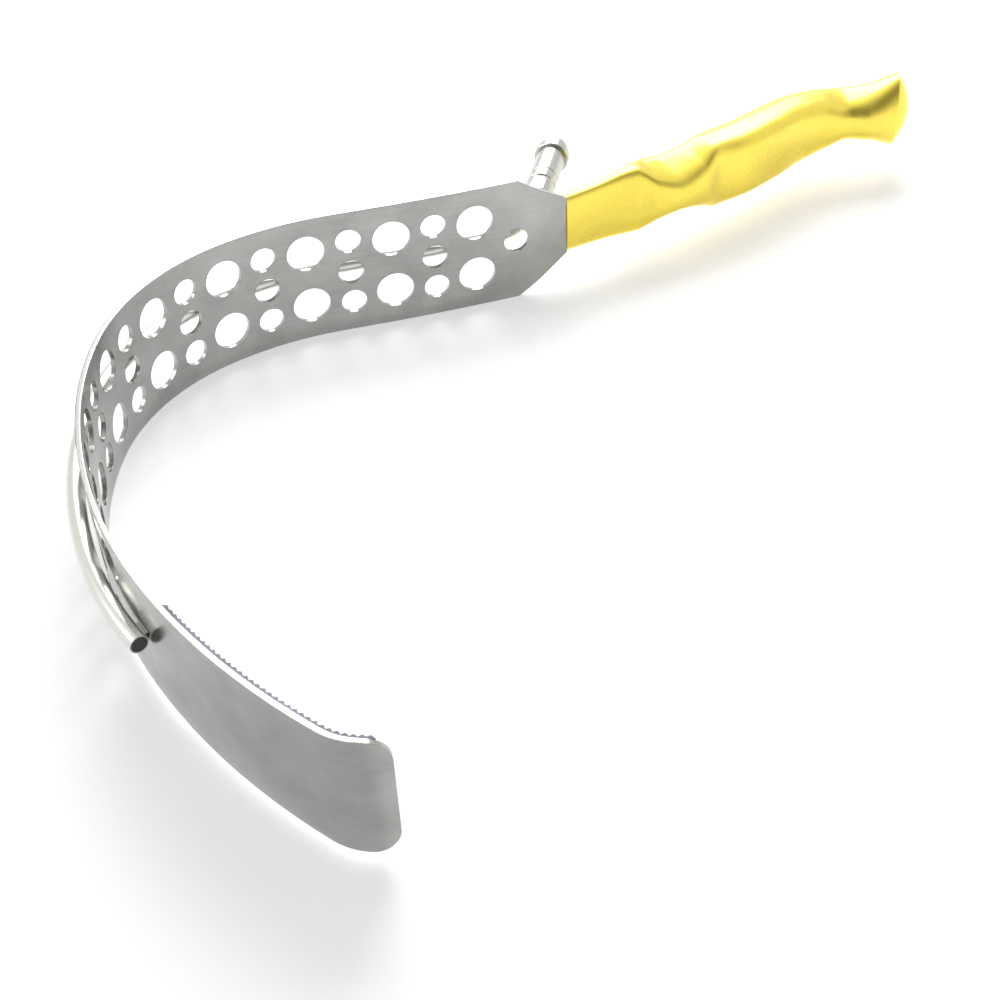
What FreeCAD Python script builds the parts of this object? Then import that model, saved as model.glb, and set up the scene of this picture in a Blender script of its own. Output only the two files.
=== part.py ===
"""Lighted abdominal retractor: a perforated J-shaped blade with a hollow handle and a light guide.

Millimetres. The blade stands on its long lower edge, with +Z up across the strap. The handle points
to +X and the open side of the J looks to -Y. While it is built, the strap's middle plane is z = 0
and the blade datum, where the neck bend ends, is at x = BEND_END_X on the strap's inner face. At the
end everything is moved together, so that the origin is under the middle of the whole object.

The strap follows a chain of tangent arcs. A station is a distance along that chain from the blade
datum, on the inner face, and a height is a distance from the middle plane.
"""

import FreeCAD
import Part

import math
import os

from FreeCAD import Placement, Rotation, Vector

# Strap
STRAP_WIDTH = 44.0
BLADE_WIDTH = 38.5
STRAP_THICKNESS = 1.5
TAPER_START_Y = 1.0
TAPER_END_Y = -120.0
BEND_END_X = -5.0
NECK_BEND_LENGTH = 5.0
NECK_BEND_TURN = 11.0
SHOULDER_X = -9.0
TIP_CORNER_RADIUS = 7.0
BLADE_CHAIN = (
    (55.0, -4.9),
    (12.0, 0.9),
    (38.0, 22.2),
    (55.0, 46.0),
    (30.0, 14.9),
    (35.0, 12.85),
    (35.0, 12.85),
    (71.0, 19.7),
    (14.0, 47.6),
    (2.2, 0.0),
)

# Perforations
HOLE_FIRST = 4.5
HOLE_PITCH = 14.0
HOLE_COLUMNS = 18
BIG_HOLE_DIAMETER = 12.5
BIG_HOLE_HEIGHT = 9.75
SMALL_HOLE_DIAMETER = 8.5
SMALL_HOLE_HEIGHT = 11.4

# Tang and neck
TANG_LENGTH = 13.5
TANG_HALF_HEIGHT = 6.5
TANG_COVER = 1.2
NECK_X = 9.3
NECK_END_X = NECK_X + TANG_LENGTH + TANG_COVER
SPIGOT_LENGTH = 8.0
BRAZE_GAP = 0.05

# Serrated lining
LINING_START = 274.0
TOOTH_PITCH = 2.0
TOOTH_COUNT = 35
LINING_BASE = 0.5
TOOTH_HEIGHT = 0.7
LINING_EDGE_INSET = 0.3

# Handle: x and y of the middle, heading, half thickness, half height at the front and at the back,
# and the power of the front and of the back corners, where 2 is an ellipse and more is squarer
HANDLE_WALL = 1.2
SECTION_POINTS = 24
SECTION_SPACING = 5.0
CORNER_CROWDING = 0.1
CROWN = 0.1
HANDLE_STATIONS = (
    (NECK_X, 4.5, 9.0, 2.75, 10.35, 10.35, 7.0, 3.2),
    (22.0, 7.1, 10.0, 2.9, 10.85, 10.85, 7.0, 3.2),
    (36.5, 10.75, 11.0, 4.7, 12.2, 12.2, 7.0, 3.2),
    (43.0, 11.8, 13.0, 8.1, 8.1, 12.0, 7.0, 3.2),
    (51.0, 12.6, 17.0, 9.4, 5.8, 11.6, 7.0, 3.2),
    (60.0, 14.8, 19.0, 9.05, 8.15, 11.6, 7.0, 3.2),
    (67.5, 18.1, 18.0, 8.5, 12.3, 12.3, 7.0, 3.2),
    (80.0, 21.1, 18.0, 9.1, 11.9, 12.4, 7.0, 3.2),
    (94.0, 26.7, 17.0, 9.3, 11.65, 12.0, 7.0, 3.2),
    (110.0, 33.05, 12.0, 8.95, 10.6, 11.4, 6.5, 3.2),
    (120.5, 34.7, 0.0, 8.8, 9.0, 10.7, 6.0, 3.0),
    (130.0, 34.0, -12.0, 8.7, 6.5, 10.3, 5.0, 2.8),
    (138.0, 31.8, -16.0, 9.0, 7.6, 11.6, 3.6, 2.5),
    (149.9, 31.3, -24.0, 9.0, 13.4, 14.2, 2.3, 2.3),
)
CAP_PROFILE = ((0.0, 1.0), (1.2, 0.872), (2.5, 0.707), (3.8, 0.49), (4.7, 0.245))
CAP_SPIGOT_LENGTH = 3.0

# Light guide
TUBE_RADIUS = 2.6
TUBE_WALL = 0.3
TUBE_STAND_OFF = 1.2
TUBE_LEAVES_AT = 14.3
TUBE_PARALLEL_RUNS = 6
TUBE_END_RUN = 40.0
TUBE_END_GAP = 0.15
ELBOW_RADIUS = 24.85
INLET_HEADING = 58.2
FIBRE_RADIUS = 2.0
FIBRE_CLEARANCE = 0.05
FERRULE_LENGTH = 6.0
WINDOW_THICKNESS = 0.8
SADDLE_COLUMNS = (1, 5, 9, 13)
SADDLE_BACK = 5.0
SADDLE_LENGTH = 5.0
SADDLE_WIDTH = 2.4
SADDLE_WRAP = 0.3

# Light inlet, measured along its axis from the end of the elbow
BASE_TAIL = 1.5
BASE_CONE_END = 5.0
BASE_SEAT = 8.0
BASE_TOP = 14.4
BASE_RADIUS = 5.1
BASE_TAIL_RADIUS = 3.3
BASE_FLATS = 9.0
BASE_FLATS_START = 6.0
STEM_RADIUS = 3.5
STEM_TOP = 28.6
FERRULE_RADIUS = 2.6
FERRULE_TOP = 27.0
INLET_WINDOW_TOP = 28.2
ADAPTOR_GAP = 0.1
ADAPTOR_RADIUS = 5.1
ADAPTOR_CLEARANCE = 0.08
ADAPTOR_SHOULDER = 29.5
GROOVE_AT = 19.4
GROOVE_WIDTH = 0.5
GROOVE_DEPTH = 0.35
FLANGE_START = 34.0
FLANGE_END = 37.6
FLANGE_RADIUS = 6.1
NOSE_RADIUS = 4.8
NOSE_END = 41.7
NOSE_CHAMFER = 0.6
EDGE_BREAK = 0.3
SEAL_SECTION = 0.33
SEAL_CLEARANCE = 0.05
CONE_SMALL_RADIUS = 2.3
CONE_RADIUS = 2.85
CONE_BORE_CLEARANCE = 0.05
CONE_START = 29.8
RETAINER_THICKNESS = 1.2
RETAINER_RADIUS = 3.9
RETAINER_BORE = 2.4
CONE_SEAL_SECTION = 0.4

MARGIN = 20.0
UP = Vector(0, 0, 1)


class State:
    """A point of a path with its heading. Heading 0 runs along -X, and a positive turn is to -Y."""

    def __init__(self, x, y, heading):
        self.x = x
        self.y = y
        self.heading = heading

    def run(self, length, turn):
        """The state after an arc of this length that turns by this many degrees."""
        start = math.radians(self.heading)
        angle = math.radians(turn)
        if abs(turn) < 1e-9:
            return State(
                self.x - length * math.cos(start), self.y - length * math.sin(start), self.heading
            )
        radius = length / angle
        end = start + angle
        x = self.x - radius * (math.sin(end) - math.sin(start))
        y = self.y + radius * (math.cos(end) - math.cos(start))
        return State(x, y, self.heading + turn)

    def outward(self, offset, height=0.0):
        """The point at this distance on the outer, convex side."""
        angle = math.radians(self.heading)
        return Vector(
            self.x - offset * math.sin(angle), self.y + offset * math.cos(angle), height
        )

    def along(self):
        angle = math.radians(self.heading)
        return Vector(-math.cos(angle), -math.sin(angle), 0)

    def normal(self):
        angle = math.radians(self.heading)
        return Vector(-math.sin(angle), math.cos(angle), 0)


DATUM = State(BEND_END_X, 0.0, 0.0)


def blade_state(station):
    """The state of the inner face at a station, which may also lie before the datum."""
    state = DATUM
    left = station
    for length, turn in BLADE_CHAIN:
        if left <= length:
            return state.run(left, turn * left / length)
        state = state.run(length, turn)
        left -= length
    return state.run(left, 0.0)


def blade_length():
    return sum(length for length, turn in BLADE_CHAIN)


def tang_states():
    """The neck bend's start and the tang's end, walked from the datum towards the handle."""
    bend_start = DATUM.run(-NECK_BEND_LENGTH, NECK_BEND_TURN)
    run = (NECK_X + TANG_LENGTH - bend_start.x) / math.cos(math.radians(bend_start.heading))
    return bend_start, bend_start.run(-run, 0.0)


def arc_edge(state, length, turn, offset):
    """One run of the chain as an edge at an offset on the outer side."""
    start = state.outward(offset)
    middle = state.run(length / 2, turn / 2).outward(offset)
    end = state.run(length, turn).outward(offset)
    if abs(turn) < 1e-9:
        return Part.LineSegment(start, end).toShape()
    return Part.Arc(start, middle, end).toShape()


def chain_edges(state, runs, offset):
    """Edges of a chain of runs at an offset, and the state at its end."""
    edges = []
    for length, turn in runs:
        edges.append(arc_edge(state, length, turn, offset))
        state = state.run(length, turn)
    return edges, state


def runs_between(first, last):
    """The blade's runs between two stations."""
    runs = []
    start = 0.0
    for length, turn in BLADE_CHAIN:
        low = max(first, start)
        high = min(last, start + length)
        if high - low > 1e-6:
            runs.append((high - low, turn * (high - low) / length))
        start += length
    return runs


def prism(points, direction):
    """A closed polygon of points, drawn out along a direction."""
    return Part.Face(Part.makePolygon(points + [points[0]])).extrude(direction)


def strap_band():
    """The strap's whole path with its thickness, drawn out over the full strap width."""
    bend_start, tang_end = tang_states()
    tang_run = bend_start.outward(0).sub(tang_end.outward(0)).Length
    runs = [(tang_run, 0.0), (NECK_BEND_LENGTH, -NECK_BEND_TURN)] + list(BLADE_CHAIN)
    inner, tip = chain_edges(tang_end, runs, 0.0)
    outer, tip = chain_edges(tang_end, runs, STRAP_THICKNESS)
    ends = [
        Part.LineSegment(state.outward(0), state.outward(STRAP_THICKNESS)).toShape()
        for state in (tang_end, tip)
    ]
    outline = Part.Wire(Part.__sortEdges__(inner + outer + ends))
    band = Part.Face(outline).extrude(Vector(0, 0, STRAP_WIDTH))
    band.translate(Vector(0, 0, -STRAP_WIDTH / 2))
    return band


def side_profile():
    """The strap's height seen along X: full at the handle and narrower over the blade."""
    top = [
        (MARGIN, STRAP_WIDTH / 2),
        (TAPER_START_Y, STRAP_WIDTH / 2),
        (TAPER_END_Y, BLADE_WIDTH / 2),
        (-2 * blade_length(), BLADE_WIDTH / 2),
    ]
    outline = top + [(y, -z) for y, z in reversed(top)]
    points = [Vector(-2 * blade_length(), y, z) for y, z in outline]
    return prism(points, Vector(4 * blade_length(), 0, 0))


def neck_profile():
    """The strap's height seen along Y: shoulders that taper to the neck, then the tang."""
    neck = HANDLE_STATIONS[0][4]
    end = tang_states()[1].x + MARGIN
    top = [
        (-2 * blade_length(), STRAP_WIDTH),
        (SHOULDER_X, STRAP_WIDTH),
        (SHOULDER_X, STRAP_WIDTH / 2),
        (NECK_X, neck),
        (NECK_X, TANG_HALF_HEIGHT),
        (end, TANG_HALF_HEIGHT),
    ]
    outline = top + [(x, -z) for x, z in reversed(top)]
    points = [Vector(x, -2 * blade_length(), z) for x, z in outline]
    return prism(points, Vector(0, 4 * blade_length(), 0))


def tip_corner_cutters():
    """What rounds the two corners of the blade's tip, cut square to the tip's last run."""
    tip = blade_state(blade_length())
    radius = TIP_CORNER_RADIUS
    cutters = []
    for side in (1, -1):
        corner = Part.makeBox(2 * radius, 2 * MARGIN, 2 * radius, Vector(0, -MARGIN, 0))
        corner = corner.cut(Part.makeCylinder(radius, 2 * MARGIN, Vector(0, -MARGIN, 0), Vector(0, 1, 0)))
        if side < 0:
            corner.rotate(Vector(0, 0, 0), Vector(1, 0, 0), 180)
        turn = math.degrees(math.atan2(tip.along().y, tip.along().x))
        corner.rotate(Vector(0, 0, 0), UP, turn)
        centre = tip.outward(0, side * (BLADE_WIDTH / 2 - radius))
        corner.translate(centre.sub(tip.along().multiply(radius)))
        cutters.append(corner)
    return cutters


def hole_rows(column):
    """Diameter and heights of the holes in one column."""
    if column == 0:
        return SMALL_HOLE_DIAMETER, (0.0,)
    if column % 2:
        return BIG_HOLE_DIAMETER, (BIG_HOLE_HEIGHT, -BIG_HOLE_HEIGHT)
    return SMALL_HOLE_DIAMETER, (SMALL_HOLE_HEIGHT, 0.0, -SMALL_HOLE_HEIGHT)


def hole_station(column):
    return HOLE_FIRST + column * HOLE_PITCH


def hole_cutters():
    cutters = []
    for column in range(HOLE_COLUMNS):
        state = blade_state(hole_station(column))
        diameter, heights = hole_rows(column)
        for height in heights:
            start = state.outward(-STRAP_THICKNESS, height)
            cutters.append(
                Part.makeCylinder(diameter / 2, 3 * STRAP_THICKNESS, start, state.normal())
            )
    return cutters


def blade_strap():
    blank = strap_band().common(side_profile()).common(neck_profile())
    return blank.cut(tip_corner_cutters() + hole_cutters())


def serrated_lining():
    """A strip of cross teeth on the inner face: arcs against the strap, and a zigzag in front."""
    end = LINING_START + TOOTH_COUNT * TOOTH_PITCH
    back, last = chain_edges(
        blade_state(LINING_START), runs_between(LINING_START, end), -BRAZE_GAP
    )
    root = -(BRAZE_GAP + LINING_BASE)
    crest = root - TOOTH_HEIGHT
    points = [blade_state(LINING_START).outward(-BRAZE_GAP), blade_state(LINING_START).outward(root)]
    for tooth in range(TOOTH_COUNT):
        start = LINING_START + tooth * TOOTH_PITCH
        points.append(blade_state(start + TOOTH_PITCH / 2).outward(crest))
        points.append(blade_state(start + TOOTH_PITCH).outward(root))
    points.append(blade_state(end).outward(-BRAZE_GAP))
    front = Part.makePolygon(points).Edges
    height = BLADE_WIDTH - 2 * LINING_EDGE_INSET
    lining = Part.Face(Part.Wire(Part.__sortEdges__(back + front))).extrude(Vector(0, 0, height))
    lining.translate(Vector(0, 0, -height / 2))
    return lining.cut(tip_corner_cutters())


def section_phases():
    """Angles round a section, closer together at its four corners."""
    phases = [2 * math.pi * i / SECTION_POINTS for i in range(SECTION_POINTS)]
    return [phase + CORNER_CROWDING * math.sin(4 * phase) for phase in phases]


def handle_section(row, inset=0.0, forward=0.0, scale=1.0):
    """One closed section of the handle: a rounded square with crowned faces, scaled to the row's half
    thickness and to a half height that may be lower at the front."""
    x, y, heading, half_thickness, front, back, front_power, back_power = row
    angle = math.radians(heading)
    centre = Vector(x + forward * math.cos(angle), y + forward * math.sin(angle), 0)
    across = Vector(-math.sin(angle), math.cos(angle), 0)
    points = []
    for phase in section_phases():
        c, s = math.cos(phase), math.sin(phase)
        power = front_power + (back_power - front_power) * (c + 1) / 2
        radius = (abs(c) ** power + abs(s) ** power) ** (-1 / power)
        u = radius * c * (1 - CROWN * (radius * s) ** 2)
        v = radius * s * (1 - CROWN / 2 * (radius * c) ** 2)
        height = (front + (back - front) * (u + 1) / 2 - inset) * scale
        thickness = (half_thickness - inset) * scale
        points.append(centre + across * (u * thickness) + Vector(0, 0, v * height))
    curve = Part.BSplineCurve()
    curve.interpolate(points, PeriodicFlag=True)
    return Part.Wire(curve.toShape())


def eased_slopes(places, values):
    """Slopes at the stations that let a cubic pass through them without overshoot."""
    steps = [b - a for a, b in zip(places, places[1:])]
    rises = [(b - a) / step for a, b, step in zip(values, values[1:], steps)]
    slopes = [rises[0]]
    for left, right in zip(rises, rises[1:]):
        slopes.append(0.0 if left * right <= 0 else 2 * left * right / (left + right))
    return slopes + [rises[-1]]


def eased(places, values, slopes, place):
    """The value at a place on the cubic through the stations."""
    index = max(i for i in range(len(places) - 1) if places[i] <= place + 1e-9)
    step = places[index + 1] - places[index]
    t = (place - places[index]) / step
    low = values[index] * (1 + 2 * t) + slopes[index] * step * t
    high = values[index + 1] * (3 - 2 * t) + slopes[index + 1] * step * (t - 1)
    return low * (1 - t) ** 2 + high * t**2


def handle_rows():
    """Sections at an even spacing, eased between the stations."""
    columns = list(zip(*HANDLE_STATIONS))
    places = columns[0]
    slopes = [eased_slopes(places, values) for values in columns]
    count = round((places[-1] - places[0]) / SECTION_SPACING)
    rows = []
    for i in range(count + 1):
        place = places[0] + (places[-1] - places[0]) * i / count
        rows.append([eased(places, v, m, place) for v, m in zip(columns, slopes)])
    return rows


def handle_body(inset=0.0):
    return Part.makeLoft([handle_section(row, inset) for row in handle_rows()], True, False)


def slab(low, high):
    """A slab between two values of x, larger than the handle in Y and Z."""
    size = 4 * STRAP_WIDTH
    return Part.makeBox(high - low, 2 * size, 2 * size, Vector(low, -size, -size))


def end_slab(depth):
    """A slab of this depth inside the handle's end plane, square to the last heading."""
    x, y, heading = HANDLE_STATIONS[-1][:3]
    size = 4 * STRAP_WIDTH
    box = Part.makeBox(depth, size, size, Vector(-depth, -size / 2, -size / 2))
    box.rotate(Vector(0, 0, 0), UP, heading)
    box.translate(Vector(x, y, 0))
    return box


def tang_slot():
    """The slot for the tang: a box along the tang's run, with the braze gap all round."""
    bend_start, tang_end = tang_states()
    length = TANG_LENGTH + MARGIN
    slot = Part.makeBox(
        length,
        STRAP_THICKNESS + 2 * BRAZE_GAP,
        2 * (TANG_HALF_HEIGHT + BRAZE_GAP),
        Vector(-length + BRAZE_GAP, -BRAZE_GAP, -(TANG_HALF_HEIGHT + BRAZE_GAP)),
    )
    slot.rotate(Vector(0, 0, 0), UP, tang_end.heading)
    slot.translate(tang_end.outward(0))
    return slot


def handle_neck():
    """The solid neck: outside it is the handle's own form, and its spigot fits in the shells."""
    neck = handle_body().common(slab(NECK_X - MARGIN, NECK_END_X))
    spigot = handle_body(HANDLE_WALL + BRAZE_GAP).common(
        slab(NECK_END_X - 1.0, NECK_END_X + SPIGOT_LENGTH)
    )
    return neck.fuse(spigot).cut(tang_slot()).removeSplitter()


def handle_shells():
    """The two halves of the hollow grip, parted on the middle plane."""
    last_x = HANDLE_STATIONS[-1][0]
    hollow = handle_body().cut(handle_body(HANDLE_WALL)).common(slab(NECK_END_X, last_x + MARGIN))
    size = 4 * STRAP_WIDTH
    upper = hollow.common(Part.makeBox(2 * size, 2 * size, size, Vector(-size, -size, 0)))
    lower = hollow.common(Part.makeBox(2 * size, 2 * size, size, Vector(-size, -size, -size)))
    return upper, lower


def pommel_cap():
    """The domed end cap, with a spigot inside the shells."""
    last = HANDLE_STATIONS[-1]
    dome = Part.makeLoft(
        [handle_section(last, 0.0, forward, scale) for forward, scale in CAP_PROFILE], True, False
    )
    inset = HANDLE_WALL + BRAZE_GAP
    spigot = handle_body(inset).common(end_slab(CAP_SPIGOT_LENGTH))
    return dome.fuse(spigot).removeSplitter()


def parallel_end():
    """The station where the light guide starts to close in on the strap."""
    return sum(length for length, turn in BLADE_CHAIN[:TUBE_PARALLEL_RUNS])


def end_radius():
    """The radius of the tube's last arc, which closes the stand-off down to the end gap."""
    length, turn = BLADE_CHAIN[TUBE_PARALLEL_RUNS]
    parallel = length / math.radians(turn) + STRAP_THICKNESS + TUBE_STAND_OFF + TUBE_RADIUS
    closing = 2 * (TUBE_STAND_OFF - TUBE_END_GAP) / TUBE_END_RUN**2
    return 1 / (1 / parallel + closing)


def tube_path(end_trim=0.0, inlet_run=0.0):
    """Edges of the light guide's middle line, from inside the inlet to the distal end."""
    offset = STRAP_THICKNESS + TUBE_STAND_OFF + TUBE_RADIUS
    leaves = blade_state(TUBE_LEAVES_AT)
    turn = INLET_HEADING - leaves.heading
    start = State(leaves.outward(offset).x, leaves.outward(offset).y, leaves.heading)
    elbow_length = math.radians(turn) * ELBOW_RADIUS
    elbow_start = start.run(-elbow_length, turn)
    edges = []
    if inlet_run > 0:
        edges.append(arc_edge(elbow_start.run(-inlet_run, 0.0), inlet_run, 0.0, 0.0))
    edges.append(arc_edge(elbow_start, elbow_length, -turn, 0.0))
    along, state = chain_edges(leaves, runs_between(TUBE_LEAVES_AT, parallel_end()), offset)
    last = State(state.outward(offset).x, state.outward(offset).y, state.heading)
    length = TUBE_END_RUN - end_trim
    edges += along
    edges.append(arc_edge(last, length, math.degrees(length / end_radius()), 0.0))
    return edges, elbow_start, last


def inlet_axis():
    """The elbow's end point and the direction of the inlet from there."""
    elbow_start = tube_path()[1]
    return elbow_start.outward(0), elbow_start.along().multiply(-1)


def pipe(edges, radius):
    """A round bar of this radius along tangent edges."""
    first = edges[0]
    start = first.valueAt(first.FirstParameter)
    tangent = first.tangentAt(first.FirstParameter)
    profile = Part.Wire(Part.makeCircle(radius, start, tangent))
    return Part.Wire(edges).makePipeShell([profile], True, False)


def ordered(edges):
    """The edges in order, each as it is met along the path."""
    return Part.__sortEdges__(edges)


def light_guide_tube():
    edges = ordered(tube_path(inlet_run=BASE_SEAT)[0])
    return pipe(edges, TUBE_RADIUS).cut(pipe(edges, TUBE_RADIUS - TUBE_WALL))


def fibre_bundle():
    edges = ordered(tube_path(end_trim=WINDOW_THICKNESS + BRAZE_GAP, inlet_run=FERRULE_TOP)[0])
    return pipe(edges, FIBRE_RADIUS)


def end_run(length):
    """The edge of the tube's last arc over this length before its distal end."""
    last = tube_path()[2]
    before = TUBE_END_RUN - length
    start = last.run(before, math.degrees(before / end_radius()))
    return [arc_edge(start, length, math.degrees(length / end_radius()), 0.0)]


def distal_ferrule():
    """The sleeve between the fibres and the tube's distal end."""
    edges = end_run(FERRULE_LENGTH)
    outside = pipe(edges, TUBE_RADIUS - TUBE_WALL - BRAZE_GAP)
    return outside.cut(pipe(edges, FIBRE_RADIUS + FIBRE_CLEARANCE))


def distal_window():
    return pipe(end_run(WINDOW_THICKNESS), FIBRE_RADIUS)


def tube_saddles():
    """Narrow cradles under the tube that hold it off the strap, one group of separate solids."""
    stations = [hole_station(column) for column in SADDLE_COLUMNS]
    stations.append(parallel_end() + TUBE_END_RUN - SADDLE_BACK)
    room_for_tube = pipe(ordered(tube_path()[0]), TUBE_RADIUS + BRAZE_GAP)
    saddles = []
    for station in stations:
        state = blade_state(station)
        height = TUBE_STAND_OFF + SADDLE_WRAP
        block = Part.makeBox(
            SADDLE_LENGTH, height, SADDLE_WIDTH, Vector(-SADDLE_LENGTH / 2, 0, -SADDLE_WIDTH / 2)
        )
        block.rotate(Vector(0, 0, 0), UP, state.heading)
        block.translate(state.outward(STRAP_THICKNESS + BRAZE_GAP))
        saddles.append(block.cut(room_for_tube))
    return Part.makeCompound(saddles)


def turned(profile):
    """A solid turned about the inlet's axis, from (radius, distance) corners."""
    points = [Vector(radius, 0, distance) for radius, distance in profile]
    solid = Part.Face(Part.makePolygon(points + [points[0]])).revolve(Vector(), UP, 360)
    return on_inlet(solid)


def on_inlet(shape):
    """Moves a shape from the Z axis onto the inlet's axis."""
    origin, direction = inlet_axis()
    shape.Placement = Placement(origin, Rotation(UP, direction))
    return shape


def ring_seal(middle_radius, section, distance):
    """A seal ring of round section about the inlet's axis."""
    return on_inlet(Part.makeTorus(middle_radius, section, Vector(0, 0, distance), UP))


def inlet_base():
    """The brazed base, with a cone at its tail and two spanner flats."""
    bore = TUBE_RADIUS + BRAZE_GAP
    seat = STEM_RADIUS + BRAZE_GAP
    base = turned(
        [
            (bore, BASE_TAIL),
            (BASE_TAIL_RADIUS, BASE_TAIL),
            (BASE_RADIUS, BASE_CONE_END),
            (BASE_RADIUS, BASE_TOP - EDGE_BREAK),
            (BASE_RADIUS - EDGE_BREAK, BASE_TOP),
            (seat, BASE_TOP),
            (seat, BASE_SEAT),
            (bore, BASE_SEAT),
        ]
    )
    origin, direction = inlet_axis()
    length = BASE_TOP - BASE_FLATS_START
    for side in (1, -1):
        flat = Part.makeBox(
            length,
            4 * BASE_RADIUS,
            BASE_RADIUS,
            Vector(BASE_FLATS_START, -2 * BASE_RADIUS, BASE_FLATS / 2),
        )
        if side < 0:
            flat.rotate(Vector(0, 0, 0), Vector(1, 0, 0), 180)
        flat.rotate(Vector(0, 0, 0), UP, math.degrees(math.atan2(direction.y, direction.x)))
        flat.translate(origin)
        base = base.cut(flat)
    return base


def inlet_stem():
    """The threaded stem that the adaptor screws onto."""
    bore = FERRULE_RADIUS + BRAZE_GAP
    return turned(
        [
            (bore, BASE_SEAT),
            (STEM_RADIUS, BASE_SEAT),
            (STEM_RADIUS, STEM_TOP - EDGE_BREAK),
            (STEM_RADIUS - EDGE_BREAK, STEM_TOP),
            (bore, STEM_TOP),
        ]
    )


def inlet_ferrule():
    bore = FIBRE_RADIUS + FIBRE_CLEARANCE
    return turned(
        [
            (bore, BASE_SEAT),
            (FERRULE_RADIUS, BASE_SEAT),
            (FERRULE_RADIUS, FERRULE_TOP),
            (bore, FERRULE_TOP),
        ]
    )


def inlet_window():
    return turned(
        [
            (0, FERRULE_TOP),
            (FERRULE_RADIUS, FERRULE_TOP),
            (FERRULE_RADIUS, INLET_WINDOW_TOP),
            (0, INLET_WINDOW_TOP),
        ]
    )


def seal_seat_radius():
    return STEM_RADIUS + 2 * SEAL_CLEARANCE + 2 * SEAL_SECTION + SEAL_CLEARANCE


def seal_seat_depth():
    return 2 * SEAL_SECTION + 2 * SEAL_CLEARANCE


def adaptor_seal():
    """The seal ring that travels with the adaptor."""
    middle = STEM_RADIUS + 2 * SEAL_CLEARANCE + SEAL_SECTION
    distance = BASE_TOP + ADAPTOR_GAP + SEAL_CLEARANCE + SEAL_SECTION
    return ring_seal(middle, SEAL_SECTION, distance)


def retainer_start():
    return NOSE_END - RETAINER_THICKNESS


def cone_seal_start():
    return retainer_start() - 2 * CONE_SEAL_SECTION - BRAZE_GAP


def cable_adaptor():
    """The screw-off adaptor: barrel, flange and nose, with the bores for stem and light cone."""
    start = BASE_TOP + ADAPTOR_GAP
    bore = STEM_RADIUS + ADAPTOR_CLEARANCE
    cone_bore = CONE_RADIUS + CONE_BORE_CLEARANCE
    groove = ADAPTOR_RADIUS - GROOVE_DEPTH
    return turned(
        [
            (seal_seat_radius(), start),
            (ADAPTOR_RADIUS - EDGE_BREAK, start),
            (ADAPTOR_RADIUS, start + EDGE_BREAK),
            (ADAPTOR_RADIUS, GROOVE_AT - GROOVE_WIDTH / 2),
            (groove, GROOVE_AT),
            (ADAPTOR_RADIUS, GROOVE_AT + GROOVE_WIDTH / 2),
            (ADAPTOR_RADIUS, FLANGE_START),
            (FLANGE_RADIUS - EDGE_BREAK, FLANGE_START),
            (FLANGE_RADIUS, FLANGE_START + EDGE_BREAK),
            (FLANGE_RADIUS, FLANGE_END - EDGE_BREAK),
            (FLANGE_RADIUS - EDGE_BREAK, FLANGE_END),
            (NOSE_RADIUS, FLANGE_END),
            (NOSE_RADIUS, NOSE_END - NOSE_CHAMFER),
            (NOSE_RADIUS - NOSE_CHAMFER, NOSE_END),
            (RETAINER_RADIUS + BRAZE_GAP, NOSE_END),
            (RETAINER_RADIUS + BRAZE_GAP, cone_seal_start()),
            (cone_bore, cone_seal_start()),
            (cone_bore, ADAPTOR_SHOULDER),
            (bore, ADAPTOR_SHOULDER),
            (bore, start + seal_seat_depth()),
            (seal_seat_radius(), start + seal_seat_depth()),
        ]
    )


def light_cone():
    """The glass cone that gathers the cable's light onto the fibres."""
    end = retainer_start() - BRAZE_GAP
    return turned(
        [
            (0, CONE_START),
            (CONE_SMALL_RADIUS, CONE_START),
            (CONE_RADIUS, end),
            (0, end),
        ]
    )


def cone_seal():
    middle = CONE_RADIUS + 2 * CONE_BORE_CLEARANCE + CONE_SEAL_SECTION
    return ring_seal(middle, CONE_SEAL_SECTION, cone_seal_start() + CONE_SEAL_SECTION)


def cone_retainer():
    return turned(
        [
            (RETAINER_BORE, retainer_start()),
            (RETAINER_RADIUS, retainer_start()),
            (RETAINER_RADIUS, NOSE_END),
            (RETAINER_BORE + EDGE_BREAK, NOSE_END),
            (RETAINER_BORE, NOSE_END - EDGE_BREAK),
        ]
    )


def pieces():
    upper, lower = handle_shells()
    return {
        "blade_strap": blade_strap(),
        "serrated_lining": serrated_lining(),
        "handle_neck": handle_neck(),
        "handle_upper_shell": upper,
        "handle_lower_shell": lower,
        "pommel_cap": pommel_cap(),
        "light_guide_tube": light_guide_tube(),
        "fibre_bundle": fibre_bundle(),
        "distal_ferrule": distal_ferrule(),
        "distal_window": distal_window(),
        "tube_saddles": tube_saddles(),
        "inlet_base": inlet_base(),
        "inlet_stem": inlet_stem(),
        "inlet_ferrule": inlet_ferrule(),
        "inlet_window": inlet_window(),
        "adaptor_seal": adaptor_seal(),
        "cable_adaptor": cable_adaptor(),
        "light_cone": light_cone(),
        "cone_seal": cone_seal(),
        "cone_retainer": cone_retainer(),
    }


def base_shift(shapes):
    """The move that puts the origin under the middle of the whole object."""
    box = Part.makeCompound(shapes).optimalBoundingBox(False, False)
    return Vector(-(box.XMin + box.XMax) / 2, -(box.YMin + box.YMax) / 2, -box.ZMin)


def main():
    os.makedirs("parts", exist_ok=True)
    made = pieces()
    shift = base_shift(list(made.values()))
    origin, direction = inlet_axis()
    print("shift", shift)
    print("inlet origin", origin.add(shift), "direction", direction)
    for name, shape in made.items():
        shape.translate(shift)
        shape.exportStep("parts/" + name + ".step")
        print(name, len(shape.Solids), shape.isValid(), round(shape.Volume, 2))


main()
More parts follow.
